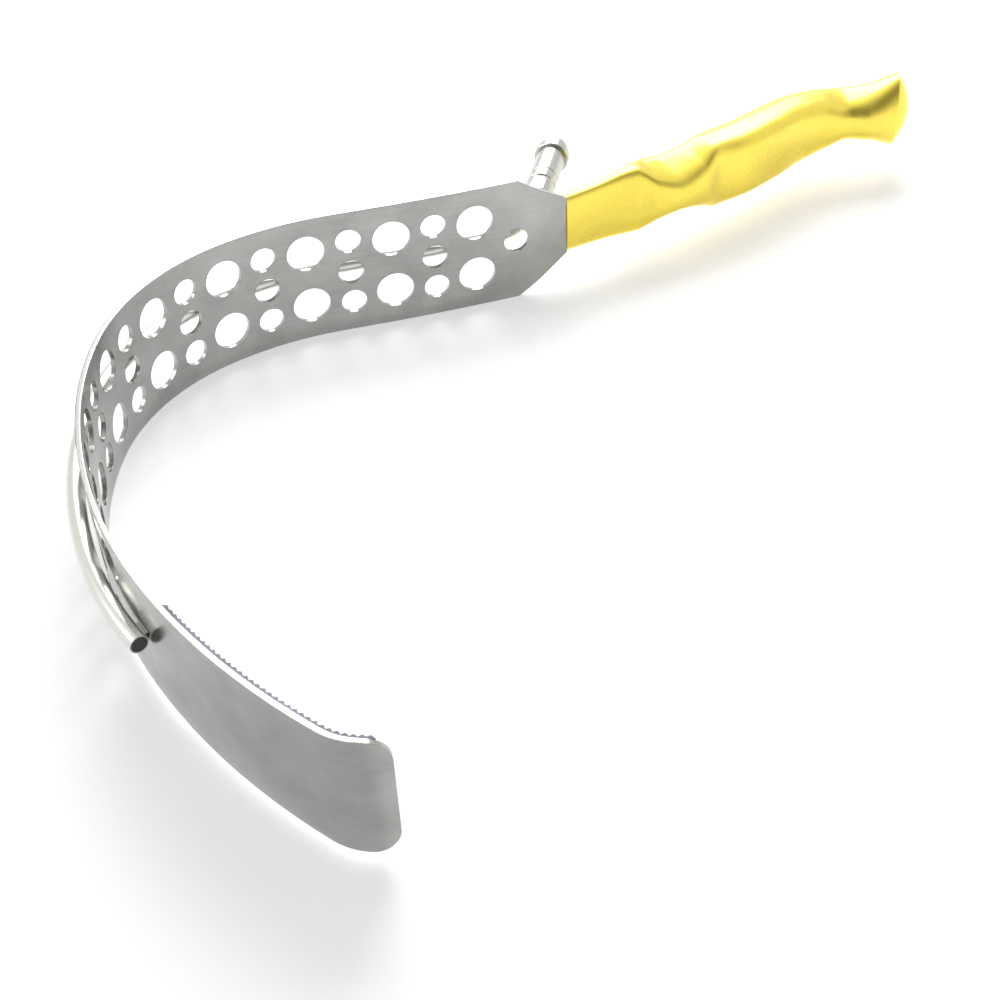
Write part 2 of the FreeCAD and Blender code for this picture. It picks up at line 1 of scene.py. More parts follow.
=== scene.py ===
"""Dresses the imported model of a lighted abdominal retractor: its finishes, smooth skins for the handle,
the tube and the light inlet, the thread under the cable adaptor, and the studio. Lengths of the
object's pieces are named in millimetres and times MM are in metres, as the model's frame is."""

import math

import bpy
import numpy as np
from bpy.props import FloatProperty, FloatVectorProperty, IntProperty, PointerProperty
from mathutils import Matrix, Vector


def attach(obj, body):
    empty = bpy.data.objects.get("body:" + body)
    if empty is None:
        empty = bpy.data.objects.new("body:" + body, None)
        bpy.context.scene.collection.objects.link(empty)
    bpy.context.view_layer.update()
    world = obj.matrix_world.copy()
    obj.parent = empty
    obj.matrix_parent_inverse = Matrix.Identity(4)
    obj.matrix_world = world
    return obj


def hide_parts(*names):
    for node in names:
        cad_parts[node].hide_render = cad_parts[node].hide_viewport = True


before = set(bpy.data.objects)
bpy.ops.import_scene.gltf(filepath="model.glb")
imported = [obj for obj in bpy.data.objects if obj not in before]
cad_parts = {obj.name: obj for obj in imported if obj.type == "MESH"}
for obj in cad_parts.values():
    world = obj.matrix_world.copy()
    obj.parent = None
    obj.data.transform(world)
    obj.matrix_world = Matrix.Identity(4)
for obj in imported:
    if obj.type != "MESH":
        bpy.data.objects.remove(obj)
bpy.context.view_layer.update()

bl_info = {
    "name": "Abdominal Retractor",
    "version": (1, 0, 0),
    "blender": (4, 5, 0),
    "location": "3D View > Sidebar > Retractor",
    "description": "Finishes and fine forms for a lighted abdominal retractor",
    "category": "Object",
}

MM = 0.001

# Places of a Mix node's colour sockets
MIX_FIRST, MIX_SECOND, MIX_RESULT = 6, 7, 2

# Clouds on metal per metre, their weight against the grain, and how far the roughness swings
CLOUD_STRETCH = (60.0, 60.0, 75.0)
CLOUD_SHARE = 0.65
ROUGH_SPREAD = 0.2
TURNED_GRAIN = (1500.0, 1500.0, 1500.0)

# Creases sharper than this many degrees stay sharp on the skins
SHARP_FROM = 50.0
TURNED_SHARP_FROM = 30.0

# The world is darker towards this direction, from the first cosine to the second
DARK_SIDE = (-0.05, -0.75, 0.66)
DARK_FROM, DARK_TO = 0.6, 0.95

# The floor brightens to this from the first distance to the second, so that it meets the world
FAR_LIFT = 0.68
LIFT_RISES = (0.5, 1.5)
FLOOR_HALF, FLOOR_STEPS, FLOOR_BELOW, FLOOR_SPREAD = 2.5, 20, 0.0001, 0.015

# The blade's datum on the strap's middle plane, in the model's frame
DATUM = np.array((7.290078, 76.352394, 22.0)) * MM

# Handle stations: x and y of the middle, heading in degrees, half thickness, half height at the
# front and at the back, and the power of the front and of the back corners
HANDLE_STATIONS = np.array(
    (
        (9.3, 4.5, 9.0, 2.75, 10.35, 10.35, 7.0, 3.2),
        (22.0, 7.1, 10.0, 2.9, 10.85, 10.85, 7.0, 3.2),
        (36.5, 10.75, 11.0, 4.7, 12.2, 12.2, 7.0, 3.2),
        (43.0, 11.8, 13.0, 8.1, 8.1, 12.0, 7.0, 3.2),
        (51.0, 12.6, 17.0, 9.4, 5.8, 11.6, 7.0, 3.2),
        (60.0, 14.8, 19.0, 9.05, 8.15, 11.6, 7.0, 3.2),
        (67.5, 18.1, 18.0, 8.5, 12.3, 12.3, 7.0, 3.2),
        (80.0, 21.1, 18.0, 9.1, 11.9, 12.4, 7.0, 3.2),
        (94.0, 26.7, 17.0, 9.3, 11.65, 12.0, 7.0, 3.2),
        (110.0, 33.05, 12.0, 8.95, 10.6, 11.4, 6.5, 3.2),
        (120.5, 34.7, 0.0, 8.8, 9.0, 10.7, 6.0, 3.0),
        (130.0, 34.0, -12.0, 8.7, 6.5, 10.3, 5.0, 2.8),
        (138.0, 31.8, -16.0, 9.0, 7.6, 11.6, 3.6, 2.5),
        (149.9, 31.3, -24.0, 9.0, 13.4, 14.2, 2.3, 2.3),
    )
)

# The joint with the strap is square, and the heading eases in over this length
START_RUN = 6.0

# Rings along the grip and over the pommel, and how far points crowd to the section's corners
GRIP_RINGS, CAP_RINGS = 480, 40
POINT_CROWDING = 0.6

# The pommel's dome: distance past the last station, and share of the section left there
CAP_PROFILE = np.array(((0.0, 1.0), (1.2, 0.872), (2.5, 0.707), (3.8, 0.49), (4.7, 0.245)))

# The photo camera's place and axes, worked out from the even grid of the blade's holes
CAMERA_PLACE = DATUM + np.array((-160.35, -434.5, 286.75)) * MM
CAMERA_RIGHT = (0.9413, -0.3360, -0.0330)
CAMERA_UP = (0.2443, 0.6102, 0.7536)
CAMERA_BACK = (-0.2331, -0.7175, 0.6565)
CAMERA_LENS, CAMERA_SENSOR = 58.23, 36.0

# The inlet's axis, from the end of the elbow, and distances along it
INLET_ORIGIN = np.array((9.781435, 93.559067, 22.0)) * MM
INLET_HEADING = 58.2
INLET_ANGLE = math.radians(INLET_HEADING)
INLET_DIRECTION = np.array((math.cos(INLET_ANGLE), math.sin(INLET_ANGLE), 0.0))
STEM_START, STEM_TOP, STEM_RADIUS, STEM_BORE = 8.0, 28.6, 3.5, 2.65
FLATS_START, FLATS = 6.0, 9.0
LEAST_SINE = 1e-6

# The stem's thread: where it runs and eases in and out, its rings, and how flat its wave is cut
THREAD_START, THREAD_END = 15.0, 28.0
RUN_IN, RUN_OUT = 0.8, 0.5
THREAD_POINTS, THREAD_RINGS = 72, 620
CREST_GAIN, CREST_CUT = 1.25, 0.12

# Turned profiles as radius and distance, from the bore round the outside and back
BASE_PROFILE = (
    (2.65, 1.5), (3.3, 1.5), (5.1, 5.0), (5.1, 6.0), (5.1, 6.05), (5.1, 14.1), (4.8, 14.4), (3.55, 14.4),
    (3.55, 8.0), (2.65, 8.0),
)
ADAPTOR_PROFILE = (
    (4.31, 14.5), (4.8, 14.5), (5.1, 14.8), (5.1, 19.15), (4.75, 19.4), (5.1, 19.65), (5.1, 34.0),
    (5.8, 34.0), (6.1, 34.3), (6.1, 37.3), (5.8, 37.6), (4.8, 37.6), (4.8, 41.1), (4.2, 41.7),
    (3.95, 41.7), (3.95, 39.65), (2.9, 39.65), (2.9, 29.5), (3.58, 29.5), (3.58, 15.26), (4.31, 15.26),
)

# The light guide's tube, and its middle line's offset from the strap's inner face
TUBE_RADIUS, TUBE_WALL, TUBE_STEP = 2.6, 0.3, 0.6
STRAP_THICKNESS, STAND_OFF, END_GAP = 1.5, 1.2, 0.15
TUBE_OFFSET = STRAP_THICKNESS + STAND_OFF + TUBE_RADIUS

# Where the tube leaves the strap for its elbow, the strap's runs as length and turn in degrees, and
# the length over which the tube closes on the strap
ELBOW_RADIUS, LEAVES_AT = 24.85, 14.3
STRAP_RUNS = ((55.0, -4.9), (12.0, 0.9), (38.0, 22.2), (55.0, 46.0), (30.0, 14.9), (35.0, 12.85))
END_RUN = 40.0


class BladeFinish(bpy.types.PropertyGroup):
    steel: FloatVectorProperty(
        name="Steel", description="Colour of the satin steel", subtype="COLOR",
        default=(0.375, 0.38, 0.365), min=0.0, max=1.0,
    )
    roughness: FloatProperty(
        name="Roughness", description="How far the satin blurs reflections", default=0.18, min=0.0, max=1.0
    )
    grain: FloatProperty(
        name="Grain", description="Depth of the brushed lines", default=0.000004, unit="LENGTH"
    )
    edge: FloatProperty(
        name="Edge break", description="Radius of the broken edges", default=0.00045, unit="LENGTH"
    )


class HandleForm(bpy.types.PropertyGroup):
    crown: FloatProperty(
        name="Crown", description="How far the front and back faces bulge, as a share", default=0.1
    )
    points: IntProperty(name="Points", description="Points round a section", default=160, min=24)
    gold: FloatVectorProperty(
        name="Gold", description="Colour of the plating", subtype="COLOR",
        default=(0.88, 0.705, 0.112), min=0.0, max=1.0,
    )
    roughness: FloatProperty(
        name="Roughness", description="How far the plating blurs reflections", default=0.26,
        min=0.0, max=1.0,
    )


class InletForm(bpy.types.PropertyGroup):
    pitch: FloatProperty(
        name="Pitch", description="Rise of the thread per turn", default=0.001, unit="LENGTH"
    )
    depth: FloatProperty(name="Depth", description="Depth of the thread", default=0.00045, unit="LENGTH")


class StudioLook(bpy.types.PropertyGroup):
    floor: FloatVectorProperty(
        name="Floor", description="Colour of the floor", subtype="COLOR", default=(0.86, 0.86, 0.865),
        min=0.0, max=1.0,
    )
    lift: FloatProperty(name="Lift", description="Light that the floor itself adds", default=0.47, min=0.0)
    softbox: FloatProperty(
        name="Softbox", description="Power of the softbox above the back", default=13.0, unit="POWER"
    )
    side_softbox: FloatProperty(
        name="Side softbox", description="Power of the softbox that only shows in reflections",
        default=6.0, unit="POWER",
    )
    fill: FloatProperty(name="Fill", description="Strength of the light from all round", default=0.46)
    dark_side: FloatProperty(
        name="Dark side", description="Share of the light that comes from the front above", default=0.3
    )


def link(tree, start, end):
    """Joins an output to an input."""
    tree.links.new(start, end)


def node(tree, kind, place=(0, 0), **values):
    """A node of this kind with its properties set."""
    made = tree.nodes.new(kind)
    made.location = place
    for key, value in values.items():
        setattr(made, key, value)
    return made


def set_inputs(made, **values):
    """Sets inputs by name, with an underscore for each space."""
    for key, value in values.items():
        made.inputs[key.replace("_", " ")].default_value = value
    return made


def empty_material(name):
    """A new material, its node tree and its one surface shader."""
    material = bpy.data.materials.new(name)
    material.use_nodes = True
    material.node_tree.nodes.clear()
    output = node(material.node_tree, "ShaderNodeOutputMaterial", (900, 0))
    surface = node(material.node_tree, "ShaderNodeBsdfPrincipled", (600, 0))
    link(material.node_tree, surface.outputs[0], output.inputs[0])
    return material, material.node_tree, surface


def stretched_noise(tree, stretch, detail, place):
    """Noise on object coordinates, stretched along each axis by its own scale per metre."""
    where = node(tree, "ShaderNodeTexCoord", (place[0] - 500, place[1]))
    mapping = node(tree, "ShaderNodeMapping", (place[0] - 300, place[1]))
    mapping.inputs["Scale"].default_value = stretch
    noise = node(tree, "ShaderNodeTexNoise", place)
    set_inputs(noise, Scale=1.0, Detail=detail, Roughness=0.6)
    link(tree, where.outputs["Object"], mapping.inputs[0])
    link(tree, mapping.outputs[0], noise.inputs["Vector"])
    return noise.outputs["Fac"]


def ranged(tree, value, low, high, place, start=0.3, end=0.7):
    """A value moved from its usual range, start to end, to the range low to high."""
    made = node(tree, "ShaderNodeMapRange", place)
    for index, number in enumerate((start, end, low, high)):
        made.inputs[index + 1].default_value = number
    link(tree, value, made.inputs[0])
    return made.outputs[0]


def tinted(tree, value, dark, light, place):
    """A colour between two, by a value."""
    made = node(tree, "ShaderNodeMix", place, data_type="RGBA")
    link(tree, value, made.inputs[0])
    made.inputs[MIX_FIRST].default_value = (*dark, 1.0)
    made.inputs[MIX_SECOND].default_value = (*light, 1.0)
    return made.outputs[MIX_RESULT]


def metal(name, colour, roughness, grain_stretch, grain_depth, spread=0.12, edge=0.0):
    """Metal with a cloudy tone, brushed grain and, where an edge is given, softly broken edges. Its tone
    follows a weighted sum of the clouds and the grain, and duller spots are rougher."""
    material, tree, surface = empty_material(name)
    cloud = stretched_noise(tree, CLOUD_STRETCH, 6.0, (-200, 300))
    grain = stretched_noise(tree, grain_stretch, 4.0, (-200, -200))
    dark = tuple(channel * (1 - spread) for channel in colour)
    light = tuple(min(1.0, channel * (1 + spread)) for channel in colour)
    both = node(tree, "ShaderNodeMath", (0, 150), operation="MULTIPLY_ADD")
    both.inputs[1].default_value = 1 - CLOUD_SHARE
    link(tree, grain, both.inputs[0])
    weighted = node(tree, "ShaderNodeMath", (-80, 320), operation="MULTIPLY")
    weighted.inputs[1].default_value = CLOUD_SHARE
    link(tree, cloud, weighted.inputs[0])
    link(tree, weighted.outputs[0], both.inputs[2])
    factor = ranged(tree, both.outputs[0], 0.0, 1.0, (120, 250))
    link(tree, tinted(tree, factor, dark, light, (320, 250)), surface.inputs["Base Color"])
    duller, smoother = roughness * (1 + ROUGH_SPREAD), roughness * (1 - ROUGH_SPREAD)
    rough = ranged(tree, both.outputs[0], duller, smoother, (120, 0))
    link(tree, rough, surface.inputs["Roughness"])
    surface.inputs["Metallic"].default_value = 1.0
    bump = node(tree, "ShaderNodeBump", (320, -250))
    bump.inputs["Strength"].default_value = 1.0
    bump.inputs["Distance"].default_value = grain_depth
    link(tree, grain, bump.inputs["Height"])
    if edge > 0:
        rounded = node(tree, "ShaderNodeBevel", (100, -350), samples=6)
        rounded.inputs["Radius"].default_value = edge
        link(tree, rounded.outputs[0], bump.inputs["Normal"])
    link(tree, bump.outputs[0], surface.inputs["Normal"])
    return material


def fibre_face(name):
    """Packed glass fibres seen end on: dark cells with paler rims under a clear gloss."""
    material, tree, surface = empty_material(name)
    where = node(tree, "ShaderNodeTexCoord", (-700, 0))
    cells = node(tree, "ShaderNodeTexVoronoi", (-500, 0), feature="DISTANCE_TO_EDGE")
    cells.inputs["Scale"].default_value = 5200.0
    link(tree, where.outputs["Object"], cells.inputs["Vector"])
    factor = ranged(tree, cells.outputs["Distance"], 0.0, 1.0, (-250, 0), 0.0, 0.25)
    colour = tinted(tree, factor, (0.035, 0.038, 0.044), (0.007, 0.008, 0.011), (0, 0))
    link(tree, colour, surface.inputs["Base Color"])
    rough = ranged(tree, cells.outputs["Distance"], 0.35, 0.12, (0, -200), 0.0, 0.25)
    link(tree, rough, surface.inputs["Roughness"])
    surface.inputs["Coat Weight"].default_value = 1.0
    surface.inputs["Coat Roughness"].default_value = 0.04
    return material


def clear_glass(name):
    """Clear optical glass with a trace of wiping marks."""
    material, tree, surface = empty_material(name)
    marks = stretched_noise(tree, (900.0, 900.0, 2500.0), 3.0, (-200, 0))
    link(tree, ranged(tree, marks, 0.02, 0.07, (100, 0)), surface.inputs["Roughness"])
    colour = tinted(tree, marks, (0.93, 0.96, 0.97), (1.0, 1.0, 1.0), (300, 200))
    link(tree, colour, surface.inputs["Base Color"])
    surface.inputs["Transmission Weight"].default_value = 1.0
    surface.inputs["IOR"].default_value = 1.52
    return material


def rubber(name):
    """Black seal rubber with a fine dull grain."""
    material, tree, surface = empty_material(name)
    grain = stretched_noise(tree, (6000.0, 6000.0, 6000.0), 3.0, (-200, 0))
    colour = tinted(tree, grain, (0.012, 0.012, 0.013), (0.03, 0.03, 0.032), (200, 150))
    link(tree, colour, surface.inputs["Base Color"])
    link(tree, ranged(tree, grain, 0.5, 0.68, (200, -50)), surface.inputs["Roughness"])
    return material


def finish(name, material):
    """Gives a node of the model its finish, in each of its slots."""
    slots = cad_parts[name].material_slots
    if not slots:
        raise RuntimeError(f"{name} has no material slot")
    for slot in slots:
        slot.material = material


def grid_mesh(name, rows, looped=False, sharp=SHARP_FROM):
    """A closed surface from an array of rings (rings, points, 3). Each ring joins the next, and the
    last one joins the first where the rows are looped, or else a fan closes each end."""
    rings, points = rows.shape[:2]
    i = np.arange(rings if looped else rings - 1)[:, None]
    j = np.arange(points)[None, :]
    after_i, after_j = (i + 1) % rings, (j + 1) % points
    quads = np.stack(
        [i * points + j, i * points + after_j, after_i * points + after_j, after_i * points + j], axis=-1
    )
    faces = quads.reshape(-1, 4).tolist()
    vertices = rows.reshape(-1, 3)
    if not looped:
        first = np.arange(points)
        last = first + (rings - 1) * points
        vertices = np.vstack([vertices, rows[0].mean(axis=0), rows[-1].mean(axis=0)])
        start, end = np.full(points, len(vertices) - 2), np.full(points, len(vertices) - 1)
        faces += np.stack([start, np.roll(first, -1), first], axis=-1).tolist()
        faces += np.stack([end, last, np.roll(last, -1)], axis=-1).tolist()
    mesh = bpy.data.meshes.new(name)
    mesh.from_pydata(vertices.tolist(), [], faces)
    mesh.update()
    mesh.shade_smooth()
    mesh.set_sharp_from_angle(angle=math.radians(sharp))
    return mesh


def piece(name, mesh, material, body, slot, *replaced):
    """A new piece that rides a body and replaces nodes of the model."""
    made = bpy.data.objects.new(name, mesh)
    bpy.context.scene.collection.objects.link(made)
    mesh.materials.append(material)
    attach(made, body)
    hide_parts(*replaced)


def eased_columns(places, values, at):
    """Values at new places, on cubics that pass through the stations without overshoot: each slope
    is the harmonic mean of the rises on its two sides, or zero at a turning point."""
    steps = np.diff(places)
    rises = np.diff(values, axis=0) / steps[:, None]
    left, right = rises[:-1], rises[1:]
    same = left * right > 0
    inner = np.where(same, 2 * left * right / np.where(same, left + right, 1.0), 0.0)
    slopes = np.vstack([rises[:1], inner, rises[-1:]])
    index = np.clip(np.searchsorted(places, at, side="right") - 1, 0, len(places) - 2)
    step = steps[index][:, None]
    t = ((at - places[index]) / steps[index])[:, None]
    low = values[index] * (1 + 2 * t) + slopes[index] * step * t
    high = values[index + 1] * (3 - 2 * t) + slopes[index + 1] * step * (t - 1)
    return low * (1 - t) ** 2 + high * t**2


def handle_rings(rows, form, forward=0.0, scale=1.0):
    """Rings of the handle's skin. A unit section is a rounded square in polar form, with the radius
    (|cos|^n + |sin|^n)^(-1/n), a power n that eases from the front's to the back's, more points near
    its corners and crowned faces. At each row it is scaled to the row's half thickness along its
    normal and to its half height, which eases from front to back."""
    phase = np.linspace(0.0, 2 * np.pi, form.points, endpoint=False)
    phase = phase + POINT_CROWDING * np.sin(4 * phase) / 4
    c, s = np.cos(phase), np.sin(phase)
    x, y, heading, thickness, front, back, front_power, back_power = (
        column[:, None] for column in rows.T
    )
    power = front_power + (back_power - front_power) * (c + 1) / 2
    radius = (np.abs(c) ** power + np.abs(s) ** power) ** (-1 / power)
    u = radius * c * (1 - form.crown * (radius * s) ** 2)
    v = radius * s * (1 - 0.5 * form.crown * (radius * c) ** 2)
    angle = np.radians(heading)
    forward = np.asarray(forward, float).reshape(-1, 1)
    scale = np.asarray(scale, float).reshape(-1, 1)
    across = u * thickness * scale
    height = v * (front + (back - front) * (u + 1) / 2) * scale
    px = x + forward * np.cos(angle) - across * np.sin(angle)
    py = y + forward * np.sin(angle) + across * np.cos(angle)
    return np.stack([px, py, height + 0 * px], axis=-1) * MM + DATUM


def swept(middle, heading, radius, points=40):
    """Rings of a round bar: a circle across the path at each of its points, in the plane of the path's
    normal (-sin, cos, 0) and the upright."""
    angle = np.linspace(0.0, 2 * np.pi, points, endpoint=False)[None, :, None]
    normal = np.stack([-np.sin(heading), np.cos(heading), 0 * heading], axis=-1)[:, None, :]
    ring = np.cos(angle) * normal - np.sin(angle) * np.array((0.0, 0.0, 1.0))
    return (middle[:, None, :] + radius * ring) * MM


def turned(profile, flats=None, points=96):
    """Rings of a turned piece on the inlet's axis, one for each point of its profile. Flats cut the
    radius down to half their width over |sin|, from where they start."""
    radius, distance = np.array(profile).T[:, :, None]
    angle = np.linspace(0.0, 2 * np.pi, points, endpoint=False)[None, :]
    radius = np.repeat(radius, points, axis=1)
    if flats:
        start, width = flats
        across = width / 2 / np.maximum(np.abs(np.sin(angle)), LEAST_SINE)
        radius = np.where(distance > start, np.minimum(radius, across), radius)
    return on_inlet(distance, radius, angle)


def on_inlet(distance, radius, angle):
    """Points at a distance along the inlet's axis, and at a radius and angle round it."""
    up = np.array((0.0, 0.0, 1.0))
    side = np.cross(INLET_DIRECTION, up)
    ring = np.cos(angle)[:, :, None] * side - np.sin(angle)[:, :, None] * up
    return INLET_ORIGIN + (distance[:, :, None] * INLET_DIRECTION + radius[:, :, None] * ring) * MM


class RETRACTOR_OT_blade(bpy.types.Operator):
    """Finishes the blade's strap in satin steel, and the light guide's brazed cradles"""

    bl_idname = "retractor.blade"
    bl_label = "Blade"

    def execute(self, context):
        look = context.scene.retractor_blade
        steel = tuple(look.steel)
        brushed = (55.0, 55.0, 5200.0)
        satin = metal("satin_steel", steel, look.roughness, brushed, look.grain, 0.2, look.edge)
        finish("blade_strap", satin)
        brazed = metal("brazed_steel", (0.42, 0.41, 0.38), 0.34, (900.0, 900.0, 900.0), 0.00001)
        finish("tube_saddles", brazed)
        return {"FINISHED"}


class RETRACTOR_OT_serrations(bpy.types.Operator):
    """Finishes the toothed lining in blasted grey steel"""

    bl_idname = "retractor.serrations"
    bl_label = "Serrations"

    def execute(self, context):
        blasted = metal("blasted_steel", (0.17, 0.18, 0.205), 0.6, (4000.0, 4000.0, 4000.0), 0.00002)
        finish("serrated_lining", blasted)
        return {"FINISHED"}


class RETRACTOR_OT_handle(bpy.types.Operator):
    """Builds the handle's neck, grip and pommel as smooth gold-plated skins"""

    bl_idname = "retractor.handle"
    bl_label = "Handle"

    def execute(self, context):
        form = context.scene.retractor_handle
        grain = (420.0, 420.0, 900.0)
        gold = metal("satin_gold", tuple(form.gold), form.roughness, grain, 0.000004, 0.05)
        places = HANDLE_STATIONS[:, 0]
        grip = eased_columns(places, HANDLE_STATIONS, np.linspace(places[0], places[-1], GRIP_RINGS))
        grip[:, 2] *= np.clip((grip[:, 0] - places[0]) / START_RUN, 0.0, 1.0)
        turn = np.linspace(0.0, np.pi / 2, CAP_RINGS)[1:]
        forward = CAP_PROFILE[-1, 0] * np.sin(turn)
        scale = eased_columns(CAP_PROFILE[:, 0], CAP_PROFILE[:, 1:], forward)[:, 0]
        cap = np.repeat(HANDLE_STATIONS[-1:], len(turn), axis=0)
        rings = np.vstack([handle_rings(grip, form), handle_rings(cap, form, forward, scale)])
        piece(
            "handle_skin", grid_mesh("handle_skin", rings), gold, "retractor", "gold",
            "handle_neck", "handle_upper_shell", "handle_lower_shell", "pommel_cap",
        )
        return {"FINISHED"}


class RETRACTOR_OT_light_guide(bpy.types.Operator):
    """Builds the light guide's tube, and finishes its end ferrule, its window and the fibres"""

    bl_idname = "retractor.light_guide"
    bl_label = "Light Guide"

    def execute(self, context):
        drawn = (300.0, 300.0, 2500.0)
        polished = metal("polished_tube", (0.66, 0.65, 0.61), 0.3, drawn, 0.0000008, 0.05)
        middle, heading = self.middle_line()
        outside = swept(middle, heading, TUBE_RADIUS)
        inside = swept(middle, heading, TUBE_RADIUS - TUBE_WALL)[::-1]
        mesh = grid_mesh("tube_skin", np.concatenate([outside, inside]), looped=True)
        piece("tube_skin", mesh, polished, "retractor", "polished_steel", "light_guide_tube")
        dark = metal("dark_ferrule", (0.12, 0.12, 0.12), 0.4, (900.0, 900.0, 900.0), 0.000005)
        finish("distal_ferrule", dark)
        fibres = fibre_face("fibre_ends")
        finish("distal_window", fibres)
        finish("fibre_bundle", fibres)
        return {"FINISHED"}

    def middle_line(self):
        """Points and headings of the tube's middle line. Its heading changes evenly along each run, so
        the points are the sums of short steps along it. A strap run is longer at the tube's offset by
        the offset times its turn, and the last run's curvature adds 2 * closed gap / length^2 to
        that of the strap's last run."""
        first, turn = STRAP_RUNS[0]
        runs = [(first - LEAVES_AT, turn * (1 - LEAVES_AT / first)), *STRAP_RUNS[1:]]
        leaving = turn * LEAVES_AT / first
        elbow = math.radians(INLET_HEADING - leaving) * ELBOW_RADIUS
        bends = [bend for _, bend in runs]
        lengths = [STEM_START, elbow]
        lengths += [length + TUBE_OFFSET * math.radians(bend) for length, bend in runs]
        headings = [INLET_HEADING, INLET_HEADING, leaving, *(leaving + np.cumsum(bends))]
        curve = 1 / (STRAP_RUNS[-1][0] / math.radians(STRAP_RUNS[-1][1]) + TUBE_OFFSET)
        curve += 2 * (STAND_OFF - END_GAP) / END_RUN**2
        lengths.append(END_RUN)
        headings.append(headings[-1] + math.degrees(curve * END_RUN))
        ends = np.concatenate([[0.0], np.cumsum(lengths)])
        place = np.unique(np.concatenate([np.arange(0.0, ends[-1], TUBE_STEP), ends]))
        heading = np.radians(np.interp(place, ends, headings))
        between = (heading[1:] + heading[:-1]) / 2
        steps = np.diff(place)[:, None] * np.stack([np.cos(between), np.sin(between), 0 * between], axis=-1)
        start = INLET_ORIGIN / MM + STEM_START * INLET_DIRECTION
        return np.vstack([start, start - np.cumsum(steps, axis=0)]), heading


class RETRACTOR_OT_inlet(bpy.types.Operator):
    """Builds the light inlet's base and threaded stem, and finishes its ferrule and window"""

    bl_idname = "retractor.inlet"
    bl_label = "Light Inlet"

    def execute(self, context):
        form = context.scene.retractor_inlet
        steel = metal("turned_steel", (0.48, 0.48, 0.45), 0.28, TURNED_GRAIN, 0.000003, 0.06)
        base = grid_mesh("base_skin", turned(BASE_PROFILE, (FLATS_START, FLATS)), True, TURNED_SHARP_FROM)
        piece("base_skin", base, steel, "retractor", "polished_steel", "inlet_base")
        finish("inlet_ferrule", steel)
        finish("inlet_window", clear_glass("window_glass"))
        stem = grid_mesh("stem_thread", self.thread(form), looped=True)
        piece("stem_thread", stem, steel, "retractor", "polished_steel", "inlet_stem")
        return {"FINISHED"}

    def thread(self, form):
        """Rings from the bore round the outside and back: the outer radius is the stem's radius less
        the thread's depth times a triangle wave of (distance / pitch - turn), with its peaks and valleys
        cut flat, and eased out at both ends."""
        angle = np.linspace(0.0, 2 * np.pi, THREAD_POINTS, endpoint=False)[None, :]
        distance = np.linspace(STEM_START, STEM_TOP, THREAD_RINGS)[:, None]
        phase = (distance * MM / form.pitch - angle / (2 * np.pi)) % 1.0
        wave = 1 - np.abs(2 * phase - 1)
        start = np.clip((distance - THREAD_START) / RUN_IN, 0, 1)
        end = np.clip((THREAD_END - distance) / RUN_OUT, 0, 1)
        groove = np.clip(wave * CREST_GAIN - CREST_CUT, 0, 1) * start * end
        radius = STEM_RADIUS - form.depth / MM * groove
        inner = np.full((1, THREAD_POINTS), STEM_BORE)
        radius = np.vstack([inner, radius, inner])
        return on_inlet(np.vstack([distance[:1], distance, distance[-1:]]), radius, angle)


class RETRACTOR_OT_adaptor(bpy.types.Operator):
    """Builds the screw-off cable adaptor, and finishes its retainer, light cone and seals"""

    bl_idname = "retractor.adaptor"
    bl_label = "Cable Adaptor"

    def execute(self, context):
        plated = metal("plated_adaptor", (0.50, 0.50, 0.475), 0.28, TURNED_GRAIN, 0.000002, 0.05)
        adaptor = grid_mesh("adaptor_skin", turned(ADAPTOR_PROFILE), True, TURNED_SHARP_FROM)
        piece("adaptor_skin", adaptor, plated, "adaptor", "polished_steel", "cable_adaptor")
        dark = metal("dark_retainer", (0.35, 0.35, 0.34), 0.3, TURNED_GRAIN, 0.000004, 0.08)
        finish("cone_retainer", dark)
        finish("light_cone", clear_glass("cone_glass"))
        seal = rubber("seal_rubber")
        finish("adaptor_seal", seal)
        finish("cone_seal", seal)
        return {"FINISHED"}


